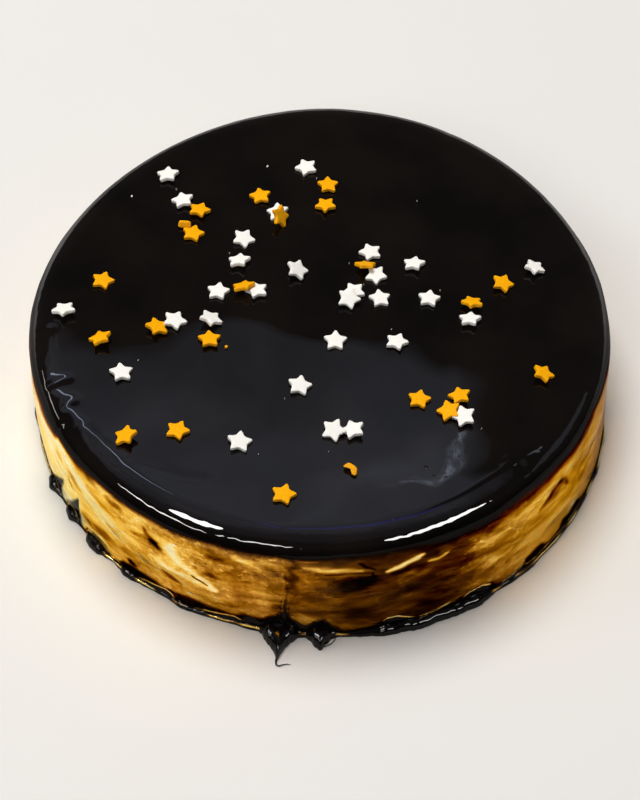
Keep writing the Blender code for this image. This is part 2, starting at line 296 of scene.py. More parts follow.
# lighter and darker patches of the painted reflection, (degrees, along the profile, half width mm, half height mm, lean
# mm per mm, change of tone)
TONE_PATCHES = (
    (215.5, 36.5, 8.0, 5.0, -0.6, 0.14), (216.0, 27.2, 4.4, 2.9, -1.0, -0.40), (214.3, 21.0, 1.7, 1.7, -0.6, -0.46),
    (214.7, 20.7, 0.8, 0.8, 0.0, 0.34), (229.6, 38.6, 3.6, 2.6, 0.2, -0.50), (223.0, 41.2, 3.2, 1.0, 0.0, -0.30),
    (228.0, 20.6, 2.6, 1.1, 0.9, -0.19), (223.4, 11.0, 8.5, 3.0, 0.1, -0.46), (231.5, 13.0, 5.0, 1.5, 0.5, -0.13),
    (226.0, 30.0, 7.0, 5.0, 0.3, 0.06), (232.5, 24.0, 5.0, 3.0, 0.3, 0.05), (242.8, 25.2, 3.6, 3.2, -0.5, 0.15),
    (251.0, 17.3, 1.5, 1.1, 0.0, 0.30), (242.0, 14.2, 3.8, 2.5, -0.5, -0.20), (250.3, 24.2, 3.4, 2.6, 0.0, -0.24), (250.0, 30.6, 3.2, 2.2, 0.0, 0.12),
    (251.6, 36.4, 3.2, 2.7, 0.2, -0.17), (256.7, 38.9, 4.3, 2.1, -0.25, 0.42), 
    (246.4, 38.5, 5.0, 1.8, 0.0, -0.08), (259.8, 25.0, 3.4, 10.0, 0.0, 0.15), (257.0, 12.0, 6.0, 4.0, 0.2, -0.06),
    (269.3, 30.0, 3.4, 6.5, 0.0, 0.08), (272.6, 36.9, 5.4, 1.6, -0.1, 0.20), (276.6, 29.4, 7.6, 4.8, 0.0, -0.08),
    (279.0, 27.4, 3.4, 2.9, -0.4, -0.10), (286.6, 31.8, 4.0, 1.4, 0.0, -0.13), (283.2, 25.0, 4.0, 6.0, 0.0, 0.05),
    (303.6, 30.4, 5.2, 2.8, 0.1, 0.23), (313.5, 31.6, 9.0, 3.8, 0.1, -0.04), (305.5, 17.3, 4.0, 2.4, 0.2, 0.34), (305.6, 11.6, 3.6, 2.2, 0.0, -0.14), (305.5, 36.4, 4.0, 2.4, 0.0, -0.16),
    (313.0, 36.6, 9.0, 2.6, 0.0, -0.08), (325.0, 31.0, 2.8, 3.4, 0.4, -0.14), (329.8, 8.6, 3.2, 2.4, 0.0, 0.30),
    (306.0, 23.5, 5.6, 2.1, 0.0, -0.15), (323.0, 28.6, 4.2, 2.0, 0.2, -0.20), (315.0, 23.5, 13.0, 3.6, 0.0, -0.08),
    (337.6, 7.4, 2.4, 1.5, -0.8, -0.30), (232.4, 8.3, 1.7, 1.25, 0.0, -0.60), (293.0, 12.5, 9.0, 5.0, 0.0, -0.05),
    (300.0, 10.0, 4.0, 3.0, 0.0, -0.05), (261.0, 14.0, 3.2, 5.0, 0.0, 0.17), (279.5, 33.2, 3.6, 2.2, 0.0, 0.10),
    (320.0, 14.5, 12.0, 3.8, 0.1, 0.12), (341.0, 17.0, 6.0, 6.0, 0.0, 0.07), (335.5, 39.8, 8.0, 1.8, 0.0, -0.22), (220.0, 36.4, 3.0, 2.0, 0.0, 0.10), (220.5, 40.6, 4.0, 1.3, 0.0, -0.22),
    (238.6, 30.4, 2.5, 2.4, 0.0, -0.46), (240.2, 24.2, 2.4, 1.8, 0.2, 0.20), (240.0, 10.2, 5.0, 3.4, 0.0, 0.20),
    (240.0, 37.8, 7.0, 2.4, 0.0, -0.16), (250.0, 39.8, 3.2, 1.8, 0.0, -0.13), (255.2, 32.6, 2.6, 4.0, 0.0, -0.15),
    (256.0, 8.6, 2.6, 2.0, 0.0, 0.16), (290.0, 30.0, 2.6, 2.2, 0.0, -0.13), (295.4, 36.4, 2.4, 1.6, 0.0, 0.13),
    (219.4, 10.4, 3.0, 4.0, 0.0, -0.34), (260.5, 39.6, 2.4, 1.8, 0.0, 0.15), (300.0, 24.2, 3.4, 2.4, 0.0, -0.08), (210.6, 30.0, 2.8, 3.2, -0.5, -0.22), (265.9, 34.0, 1.8, 9.0, 0.0, -0.24), (280.6, 39.6, 5.0, 2.2, 0.0, -0.09), (333.0, 25.0, 9.0, 3.0, -0.4, 0.06), (339.0, 33.0, 6.0, 3.0, 0.0, -0.06),
    (150.0, 26.0, 5.0, 4.5, 0.3, -0.38), (96.0, 18.0, 6.0, 4.0, 0.2, -0.24), (52.0, 30.0, 4.5, 4.5, 0.0, -0.34),
    (12.0, 20.0, 7.0, 3.6, 0.4, -0.20), (178.0, 15.0, 4.0, 5.0, -0.3, -0.26), (132.0, 34.0, 7.0, 2.2, 0.1, 0.16),
    (110.0, 27.0, 9.0, 1.8, 0.2, 0.18), (38.0, 18.0, 9.0, 2.2, -0.2, 0.16), (68.0, 24.0, 8.0, 2.0, 0.3, 0.14),
)
# painted streaks of reflected light, and darker ones of painted shade, (path in degrees and mm, half width mm, change
# of tone)
TONE_STREAKS = (
    (((242.4, 34.2), (242.0, 31.0), (242.6, 28.0), (245.6, 25.0), (248.0, 22.0), (251.3, 17.3)), 1.75, 0.36),
    (((238.0, 22.6), (242.0, 20.6), (246.0, 19.4), (251.0, 17.0)), 1.5, 0.36),
    (((246.6, 21.7), (248.0, 20.0), (249.7, 18.3)), 0.55, -0.85),
    (((236.5, 36.2), (237.2, 33.4), (238.2, 30.8), (239.3, 28.6)), 1.25, -0.50),
    (((233.4, 29.8), (236.0, 31.2), (238.4, 29.8)), 1.25, -0.26),
    (((240.2, 15.8), (242.0, 14.0), (244.0, 12.7)), 0.85, -0.26),
    (((283.6, 32.6), (286.2, 33.9), (288.3, 35.8), (290.8, 37.4)), 1.05, 0.92),
    (((291.6, 33.2), (293.6, 32.7), (295.8, 34.6)), 0.75, 0.60),
    (((268.0, 38.4), (271.5, 37.4), (275.0, 36.2), (278.8, 35.0)), 1.25, 0.42),
    (((278.0, 39.8), (279.4, 37.0), (281.4, 34.6)), 0.42, -0.50),
    (((272.0, 34.2), (276.0, 34.6), (281.0, 33.2), (281.2, 28.0)), 0.5, -0.18),
    (((264.2, 13.0), (264.3, 26.0), (264.2, 36.0)), 0.40, 0.07),
    (((261.6, 41.6), (263.2, 41.7)), 0.35, 0.55), (((266.2, 41.6), (268.0, 41.5), (270.4, 41.2)), 0.32, 0.50),
    (((287.0, 21.0), (286.0, 26.0), (288.5, 30.4), (292.0, 31.0)), 0.8, 0.06),
    (((300.5, 33.5), (304.0, 31.0), (310.0, 30.5)), 0.7, 0.16), (((303.0, 28.4), (306.5, 29.6)), 0.6, 0.18),
    (((308.0, 37.4), (316.0, 38.4), (325.0, 37.6)), 0.8, 0.10),
    (((317.8, 27.4), (321.0, 28.6), (324.0, 31.0), (325.0, 33.9)), 1.4, -0.30),
    (((324.0, 31.2), (326.6, 28.6), (327.0, 25.4)), 1.3, -0.32),
    (((319.0, 25.6), (322.6, 25.0), (326.0, 23.6)), 0.6, 0.14),
    (((212.0, 31.6), (218.0, 29.8), (225.0, 31.0)), 0.7, 0.10),
    (((219.6, 33.0), (224.0, 27.0), (231.0, 23.0)), 0.8, 0.07), (((222.0, 21.0), (228.0, 17.5), (235.0, 16.5)), 0.8, 0.09),
    (((128.0, 22.0), (138.0, 25.5), (146.0, 24.0)), 0.9, 0.30),
    (((84.0, 30.0), (92.0, 27.0), (99.0, 28.5)), 0.8, 0.34),
    (((24.0, 12.0), (34.0, 14.5), (43.0, 13.0)), 0.8, 0.26),
    (((170.0, 33.0), (176.0, 30.0), (185.0, 29.5)), 0.8, 0.24),
)
# where the painted reflection is redder and darker, (degrees, along the profile, half width mm, half height mm, amount)
RED_SHADE = (
    (243.0, 11.0, 9.0, 6.0, 0.60), (256.0, 22.0, 9.0, 15.0, 0.42), (268.0, 26.0, 5.5, 12.0, 0.62),
    (262.0, 12.0, 6.0, 8.0, 0.35), (281.0, 14.0, 14.0, 12.0, 0.12), (236.0, 20.0, 9.0, 9.0, 0.12),
    (323.0, 29.0, 4.0, 3.0, 0.50), (345.0, 20.0, 9.0, 18.0, 0.15),
    (60.0, 14.0, 12.0, 8.0, 0.5), (155.0, 14.0, 14.0, 6.0, 0.5), (100.0, 30.0, 12.0, 8.0, 0.3),
)


def painted_board_reflection(deg, s, slope):
    """(tone, gold, red shade, grain, shine) of the wall at a place, painted to stand for the reflection of the gold
    board; slope is that of the relief, upwards.
    """
    tone = periodic(deg, TONE_ROUND)
    per_deg = math.radians(1.0) * CAKE_R
    tone = tone + 0.030 * ring_waves(deg, s, 41, 14, 6, 26, 9.0, 26.0) + 0.020 * ring_waves(deg, s, 42, 22, 20, 70, 4.5, 11.0)
    jog_a, jog_h = 0.7 * ring_waves(deg, s, 31, 9, 30, 90, 5.0, 9.0), 0.45 * ring_waves(deg, s, 32, 9, 30, 90, 4.0, 8.0)
    for at, up, wide, tall, lean, change in TONE_PATCHES:
        a = gap(deg, at) * per_deg + jog_a
        h = s - up - lean * a * 0.5 + jog_h
        tone = tone + change * np.exp(-((a / wide) ** 2 + (h / tall) ** 2) ** 1.7)
    for path, width, change in TONE_STREAKS:
        near = path[len(path) // 2][0]
        pts = [(gap(p[0], near) * per_deg, p[1]) for p in path]
        d, a = path_distance(gap(deg, near) * per_deg + 0.35 * jog_a, s + 0.3 * jog_h, pts)
        ends = np.clip(5.0 * a + 0.1, 0, 1) * np.clip(5.0 * (1.0 - a) + 0.1, 0, 1)
        tone = tone + change * np.exp(-(d / (width * (0.45 + 0.55 * ends))) ** 2)
    # painted highlight and shade: the tone follows the upward slope of the relief
    tone = tone + 1.1 * np.clip(slope, -0.12, 0.12)
    # painted shade: it darkens to red-brown under the rounded edge, later on the left than on the right
    fade = periodic(deg, ((197.0, 9.0), (205.0, 9.0), (209.5, 7.4), (212.0, 2.4), (262.0, 2.4), (275.0, 4.2), (288.0, 5.5),
                          (299.0, 9.5), (314.0, 10.0), (326.0, 6.5), (337.0, 5.0), (20.0, 4.0), (100.0, 5.0), (160.0, 3.5)))
    upper = 43.6 - 0.75 * np.exp(-(gap(deg, 219.0) / 20.0) ** 4) + 0.35 * np.sin(np.radians(deg * 13.0)) + 0.25 * np.sin(np.radians(deg * 29.0 + 50.0))
    fade_out = 1.0 - smooth(upper - fade, upper - 0.2, s)
    tone = tone * (0.25 + 0.75 * fade_out) - 0.10 * (1.0 - fade_out)
    gold = 1.0 - smooth(upper - 0.45 * fade, upper + 0.5, s)
    # the painted shade over the foot, and the black spur over the larger run
    dark_to = periodic(deg, DARK_FOOT)
    lit = smooth(dark_to - 0.9, dark_to + 1.5, s)
    tone = tone * lit + 0.045 * (1.0 - lit)
    gold = gold * smooth(-0.28, 0.28, s - periodic(deg, BLACK_FOOT))
    crease = gap(deg, 264.8 + 0.25 * np.sin(s * 0.31)) * per_deg
    spur = np.exp(-(crease / (0.34 + 2.2 * np.exp(-((s - 5.0) / 5.0) ** 2))) ** 4) * (1.0 - smooth(17.0, 21.0, s))
    gold = gold * (1.0 - 0.95 * spur)
    for path, wide, thin in FOOT_LEAVES:
        near = path[0][0]
        pts = [(gap(p[0], near) * per_deg, p[1]) for p in path]
        d, a = path_distance(gap(deg, near) * per_deg, s, pts)
        half = wide + (thin - wide) * a ** 0.85
        gold = gold * (1.0 - np.exp(-(d / half) ** 6))
    # painted shade along the crease over the larger run
    tone = tone - 0.12 * np.exp(-(crease / 0.5) ** 2) * (1.0 - smooth(33.0, 41.0, s))
    # painted highlights: thin bright lines of reflected light along the foot
    for path, width in FOOT_HIGHLIGHT_LINES:
        near = path[len(path) // 2][0]
        pts = [(gap(p[0], near) * per_deg, p[1]) for p in path]
        d, a = path_distance(gap(deg, near) * per_deg, s, pts)
        ends = np.clip(6.0 * a + 0.2, 0, 1) * np.clip(6.0 * (1.0 - a) + 0.2, 0, 1)
        line = np.exp(-(d / width) ** 2) * ends
        gold = np.maximum(gold, np.clip(1.5 * line, 0, 1))
        tone = np.maximum(tone, 0.95 * np.clip(1.3 * line, 0, 1))
    # redder, darker places of the painted reflection, and painted red-brown shade under the rounded edge
    red_shade = np.zeros_like(deg)
    for at, up, wide, tall, amount in RED_SHADE:
        red_shade = red_shade + amount * np.exp(-(gap(deg, at) * per_deg / wide) ** 2 - ((s - up) / tall) ** 2)
    red_shade = np.clip(red_shade + 0.8 * (1.0 - fade_out), 0, 1)
    # how strongly the fine crinkle of the painted reflection shows, and how much the clear glaze over it shines
    grain = periodic(deg, ((196.0, 0.0), (214.0, 0.08), (226.0, 0.30), (236.0, 0.65), (243.0, 1.0), (258.0, 0.7),
                           (266.0, 0.6), (272.0, 0.35), (277.0, 0.08), (292.0, 0.12), (300.0, 0.8), (309.0, 0.45),
                           (318.0, 0.16), (340.0, 0.10), (30.0, 0.3), (90.0, 0.5), (150.0, 0.4)))
    back = smooth(95.0, 130.0, np.abs(gap(deg, 270.0)))
    shine = (smooth(44.6, 47.0, s) * 0.78 + 0.22) * (1.0 - 0.55 * back * (1.0 - smooth(48.0, 51.5, s)))
    return np.clip(tone, 0.0, 1.0), np.clip(gold, 0.0, 1.0), red_shade, grain, shine


# ------------------------------------------------------------ the fine mesh
ROUND_STEPS = 720
FRONT_AT, FRONT_CROWD = 264.0, 0.52


def columns(n):
    u = np.arange(n) * TAU / n
    return FRONT_AT + np.degrees(u - FRONT_CROWD * np.sin(u))


def superellipse(t, n):
    return np.sign(np.cos(t)) * np.abs(np.cos(t)) ** (2.0 / n), np.abs(np.sin(t)) ** (2.0 / n)


def cake_rows():
    """Rows of the profile from the middle of the top to the foot: (kind, value, columns)."""
    rows = []
    for r in np.linspace(3.0, 24.0, 8):
        rows.append(("top", r, 90))
    for r in np.linspace(26.0, 50.0, 15):
        rows.append(("top", r, 180))
    for r in np.linspace(51.6, 80.0, 19):
        rows.append(("top", r, 360))
    for r in np.linspace(81.0, 91.6, 12):
        rows.append(("top", r, 720))
    for t in np.linspace(86.5, 2.5, 25):
        rows.append(("edge", t, 720))
    for z in np.r_[np.linspace(WALL_TOP - 0.55, 8.0, 43), np.linspace(7.65, 2.0, 18)]:
        rows.append(("wall", z, 720))
    for a in np.linspace(0.0, 90.0, 11):
        rows.append(("bead", a, 720))
    return rows


# (path in millimetres, half thickness)
THREADS = (
    (((-12.0, -112.2), (-12.3, -114.2), (-12.2, -115.6), (-11.3, -116.0), (-10.0, -115.5), (-8.6, -115.1), (-7.3, -115.4)), 0.42),
    (((2.2, -108.2), (4.2, -107.9), (6.1, -106.8), (7.3, -105.2), (7.6, -103.8)), 0.30),
)
# bubbles of the top, (x, y, radius)
BUBBLES = (
    (36.1, -67.4, 0.74), (38.5, -70.9, 0.52), (42.6, -71.4, 0.68), (-22.0, -44.0, 0.34), (-22.6, -43.0, 0.26),
    (33.5, 50.5, 0.3), (47.0, -62.5, 0.3), (25.0, -88.5, 0.3), (-58.0, -73.0, 0.28), (62.0, -20.0, 0.26),
)
EDGE_IN, EDGE_DOWN, EDGE_POWER = 10.6, 9.6, 2.16


def base_points(kind, value, deg):
    """(radius, height, normal out, normal up, place along the profile) of a row, in millimetres."""
    er, fr = edge_radius(deg), foot_radius(deg)
    one = np.ones_like(deg)
    if kind == "top":
        limit = CAKE_R - EDGE_IN
        r = value * (1.0 + (er - CAKE_R) / CAKE_R * (value / CAKE_R))
        s = SHOULDER + (CAKE_R - EDGE_R - value)
        return r, CAKE_H * one, 0.0 * one, one, s * one
    if kind == "edge":
        t = math.radians(value)
        c, q = math.cos(t) ** (2.0 / EDGE_POWER), math.sin(t) ** (2.0 / EDGE_POWER)
        nx = (c ** (EDGE_POWER - 1.0)) / EDGE_IN
        nz = (q ** (EDGE_POWER - 1.0)) / EDGE_DOWN
        length = math.hypot(nx, nz)
        r = er - EDGE_IN * (1.0 - c)
        z = CAKE_H - EDGE_DOWN * (1.0 - q)
        swell = wall_swell(deg, z)
        r = r + swell * c
        ang = math.atan2(z - WALL_TOP, (er[0] - EDGE_IN * (1.0 - c)) - (er[0] - EDGE_R))
        over = math.hypot(z - WALL_TOP, EDGE_R - EDGE_IN * (1.0 - c))
        if c * EDGE_IN < EDGE_IN - EDGE_R:
            s = SHOULDER + (EDGE_IN - EDGE_R - c * EDGE_IN)
        elif z < WALL_TOP:
            s = z
        else:
            s = WALL_TOP + EDGE_R * ang
        return r, z * one, nx / length * one, nz / length * one, s * one
    rise = bead_rise(deg)
    if kind == "wall":
        top = CAKE_H - EDGE_DOWN
        f = (WALL_TOP - 0.55 - value) / (WALL_TOP - 0.55 - 2.0)
        z = (top - 0.55) * (1.0 - f) + rise * f
        up = np.minimum(1.0, z / WALL_TOP)
        r = fr * (1.0 - up) + er * up + wall_swell(deg, z)
        return r, z, one, 0.0 * one, z
    # bead: from where it leaves the wall down to the base
    a = math.radians(value)
    power = 2.35
    share, tall = math.sin(a) ** (2.0 / power), max(0.0, math.cos(a)) ** (2.0 / power)
    if value >= 89.99:
        share, tall = 1.0, 0.0
    lump = np.sin(np.radians(deg * 163.0)) * np.sin(np.radians(deg * 47.0 + 20.0)) + 0.5 * np.sin(np.radians(deg * 251.0))
    calm = 1.0 - 0.8 * np.exp(-(gap(deg, 267.0) / 6.5) ** 4)
    slow = np.sin(np.radians(deg * 37.0 + 15.0)) * np.cos(np.radians(deg * 19.0))
    reach = bead_reach(deg) * (1.0 + calm * (0.045 * lump + 0.10 * slow))
    rise = rise * (1.0 + calm * (0.05 * np.sin(np.radians(deg * 113.0 + 60.0)) - 0.10 * slow))
    r = fr + share * reach
    z = tall * rise
    return r, z, share * one, tall * one, 0.0 * one + z


def glazed_cake():
    rows = cake_rows()
    all_deg = columns(ROUND_STEPS)
    verts, starts = [], []
    layers = {"tone": [], "gold": [], "red_shade": [], "grain": [], "shine": []}
    faces = []
    total = 1
    c = np.array([[0.0, 0.0, CAKE_H + float(relief(np.zeros(1), np.zeros(1), np.zeros(1), np.full(1, 140.0))[0])]])
    verts.append(c)
    for key in layers:
        layers[key].append(np.full(1, 1.0 if key == "shine" else 0.0))
    for kind, value, n in rows:
        deg = all_deg[::ROUND_STEPS // n]
        r, z, nx, nz, s = base_points(kind, value, deg)
        t = np.radians(deg)
        x, y = r * np.cos(t), r * np.sin(t)
        if kind == "bead":
            d = np.zeros(n)
            slope = np.zeros(n)
        else:
            d = relief(x, y, deg, s)
            slope = (relief(x, y, deg, s + 0.4) - relief(x, y, deg, s - 0.4)) / 0.8
            if kind == "wall":
                d = d * smooth(0.0, 4.0, s)
        r, z = r + d * nx, z + d * nz
        verts.append(np.c_[r * np.cos(t), r * np.sin(t), z])
        if kind == "top" or kind == "bead":
            shine = 1.0 if kind == "top" else 0.42 + 0.10 * smooth(10.0, 60.0, value)
            data = [np.zeros(n)] * 4 + [np.full(n, shine)]
            if kind == "bead" and 24.0 < value < 60.0:
                # where the thin lip catches the light
                lip = smooth(0.15, 0.6, 0.5 + 0.5 * np.sin(np.radians(deg * 17.0)) * np.cos(np.radians(deg * 29.0 + 40.0)))
                lip = lip * (1.0 - smooth(1.0, 1.8, bead_reach(deg)))
                data = [0.9 * lip, 0.85 * lip, 0.0 * deg, 0.0 * deg, np.full(n, shine)]
        else:
            data = painted_board_reflection(deg, s, slope)
        for key, values in zip(layers, data):
            layers[key].append(values)
        starts.append((total, n))
        total += n
    # a fan round the middle, then strips; a strip may halve the number of columns
    s0, n0 = starts[0]
    for j in range(n0):
        faces.append((0, s0 + j, s0 + (j + 1) % n0))
    for (sa, na), (sb, nb) in zip(starts, starts[1:]):
        if na == nb:
            for j in range(na):
                k = (j + 1) % na
                faces.append((sa + j, sb + j, sb + k, sa + k))
        else:
            for j in range(na):
                k = (j + 1) % na
                m = 2 * j
                faces.append((sa + j, sb + m, sb + m + 1))
                faces.append((sa + j, sb + m + 1, sa + k))
                faces.append((sb + m + 1, sb + (m + 2) % nb, sa + k))
    # threads of glaze lying at the tips of the two runs
    threads = []
    for path, thick in THREADS:
        pts = [np.array(q) for q in path]
        ring0 = None
        for i, q in enumerate(pts):
            d = pts[min(i + 1, len(pts) - 1)] - pts[max(i - 1, 0)]
            d = d / np.hypot(*d)
            w = thick * (1.0 - 0.75 * i / (len(pts) - 1))
            ring = [(q[0] - d[1] * w * math.cos(a), q[1] + d[0] * w * math.cos(a), max(0.0, w * (0.75 + math.sin(a))))
                    for a in np.arange(8) * TAU / 8.0]
            threads.append(np.array(ring))
            if ring0 is not None:
                for j in range(8):
                    k = (j + 1) % 8
                    faces.append((ring0 + j, ring0 + k, ring0 + 8 + k, ring0 + 8 + j))
            else:
                faces.append(tuple(total + j for j in range(8)))
            ring0 = total
            total += 8
        faces.append(tuple(ring0 + 7 - j for j in range(8)))
    for ring in threads:
        verts.append(ring)
        for key in layers:
            layers[key].append(np.full(8, 1.0 if key == "shine" else 0.0))
    # small bubbles caught in the skin of the top
    rng = np.random.RandomState(3)
    marks = list(BUBBLES) + [(rng.uniform(6, 34), rng.uniform(-30, -19), rng.uniform(0.12, 0.2)) for _ in range(14)]
    marks += [(-72 + rng.uniform(-9, 9), -22 + rng.uniform(-5, 5), rng.uniform(0.12, 0.2)) for _ in range(8)]
    for bx, by, br in marks:
        first = total
        bz = CAKE_H + float(relief(np.array([bx]), np.array([by]), np.zeros(1), np.full(1, 80.0))[0])
        for up, out in ((-0.10, 1.0), (0.22, 0.86), (0.42, 0.5)):
            verts.append(np.array([(bx + br * out * math.cos(q), by + br * out * math.sin(q), bz + br * up)
                                   for q in np.arange(10) * TAU / 10.0]))
            total += 10
        verts.append(np.array([(bx, by, bz + br * 0.5)]))
        total += 1
        for ring in range(2):
            for j in range(10):
                k = (j + 1) % 10
                o = first + ring * 10
                faces.append((o + j, o + k, o + 10 + k, o + 10 + j))
        for j in range(10):
            faces.append((first + 20 + j, first + 20 + (j + 1) % 10, first + 30))
        faces.append(tuple(first + 9 - j for j in range(10)))
        for key in layers:
            layers[key].append(np.full(31, 1.0 if key == "shine" else 0.0))
    # flat base
    sl, nl = starts[-1]
    verts.append(np.array([[0.0, 0.0, 0.0]]))
    for key in layers:
        layers[key].append(np.full(1, 1.0 if key == "shine" else 0.0))
    for j in range(nl):
        faces.append((total, sl + (j + 1) % nl, sl + j))
    v = np.concatenate(verts) * MM
    mesh = bpy.data.meshes.new("glazed_cake")
    mesh.from_pydata(v.tolist(), [], faces)
    for name, data in layers.items():
        attr = mesh.attributes.new(name, "FLOAT", "POINT")
        attr.data.foreach_set("value", np.concatenate(data).astype(np.float32))
    mesh.shade_smooth()
    mesh.set_sharp_from_angle(angle=math.radians(60.0))
    ob = bpy.data.objects.new("glazed_cake", mesh)
    scene.collection.objects.link(ob)
    return ob


# ---------------------------------------------------------------- materials
def srgb(r, g, b):
    """Linear colour of an 8-bit display colour."""
    def lin(v):
        v /= 255.0
        return v / 12.92 if v <= 0.04045 else ((v + 0.055) / 1.055) ** 2.4
    return (lin(r), lin(g), lin(b), 1.0)


class Nodes:
    """Short names for building a node tree."""

    def __init__(self, name):
        self.mat = bpy.data.materials.new(name)
        self.mat.use_nodes = True
        self.tree = self.mat.node_tree
        self.bsdf = self.tree.nodes["Principled BSDF"]

    def new(self, kind, **props):
        node = self.tree.nodes.new(kind)
        for k, v in props.items():
            setattr(node, k, v)
        return node

    def link(self, a, b):
        self.tree.links.new(a, b)

    def put(self, socket, value):
        if hasattr(value, "is_output"):
            self.link(value, socket)
        else:
            socket.default_value = value

    def math(self, op, a, b=None, c=None, clamp=False):
        node = self.new("ShaderNodeMath", operation=op, use_clamp=clamp)
        self.put(node.inputs[0], a)
        if b is not None:
            self.put(node.inputs[1], b)
        if c is not None:
            self.put(node.inputs[2], c)
        return node.outputs[0]

    def ramp(self, value, stops, mode="LINEAR"):
        node = self.new("ShaderNodeValToRGB")
        node.color_ramp.interpolation = mode
        el = node.color_ramp.elements
        while len(el) < len(stops):
            el.new(0.5)
        for e, (p, col) in zip(el, stops):
            e.position = p
            e.color = col
        self.put(node.inputs["Fac"], value)
        return node.outputs["Color"]

    def mix(self, fac, a, b, mode="MIX"):
        node = self.new("ShaderNodeMix", data_type="RGBA", blend_type=mode)
        self.put(node.inputs["Factor"], fac)
        self.put(node.inputs[6], a)
        self.put(node.inputs[7], b)
        return node.outputs[2]

    def remap(self, value, a, b, c, d):
        node = self.new("ShaderNodeMapRange")
        node.clamp = True
        self.put(node.inputs["Value"], value)
        for key, v in (("From Min", a), ("From Max", b), ("To Min", c), ("To Max", d)):
            node.inputs[key].default_value = v
        return node.outputs["Result"]

    def noise(self, vector, scale, detail=4.0, rough=0.5, distortion=0.0):
        node = self.new("ShaderNodeTexNoise")
        self.put(node.inputs["Vector"], vector)
        node.inputs["Scale"].default_value = scale
        node.inputs["Detail"].default_value = detail
        node.inputs["Roughness"].default_value = rough
        node.inputs["Distortion"].default_value = distortion
        return node.outputs["Fac"]

    def stretched(self, vector, sx, sy, sz):
        node = self.new("ShaderNodeMapping")
        self.put(node.inputs["Vector"], vector)
        node.inputs["Scale"].default_value = (sx, sy, sz)
        return node.outputs["Vector"]

    def attribute(self, name):
        node = self.new("ShaderNodeAttribute", attribute_type="GEOMETRY", attribute_name=name)
        return node.outputs["Fac"]

    def bump(self, height, distance, strength=1.0, normal=None):
        node = self.new("ShaderNodeBump")
        node.inputs["Strength"].default_value = strength
        node.inputs["Distance"].default_value = distance
        self.put(node.inputs["Height"], height)
        if normal is not None:
            self.put(node.inputs["Normal"], normal)
        return node.outputs["Normal"]

    def set(self, **values):
        for key, v in values.items():
            self.put(self.bsdf.inputs[key.replace("_", " ")], v)


FLOOR_LIGHT = 0.80         # what the wall reflects: its colours are worked out for this


def gold_stop(pos, r, g, b):
    c = srgb(r, g, b)
    return (pos, tuple(v / max(FLOOR_LIGHT, max(c[:3])) for v in c[:3]) + (1.0,))


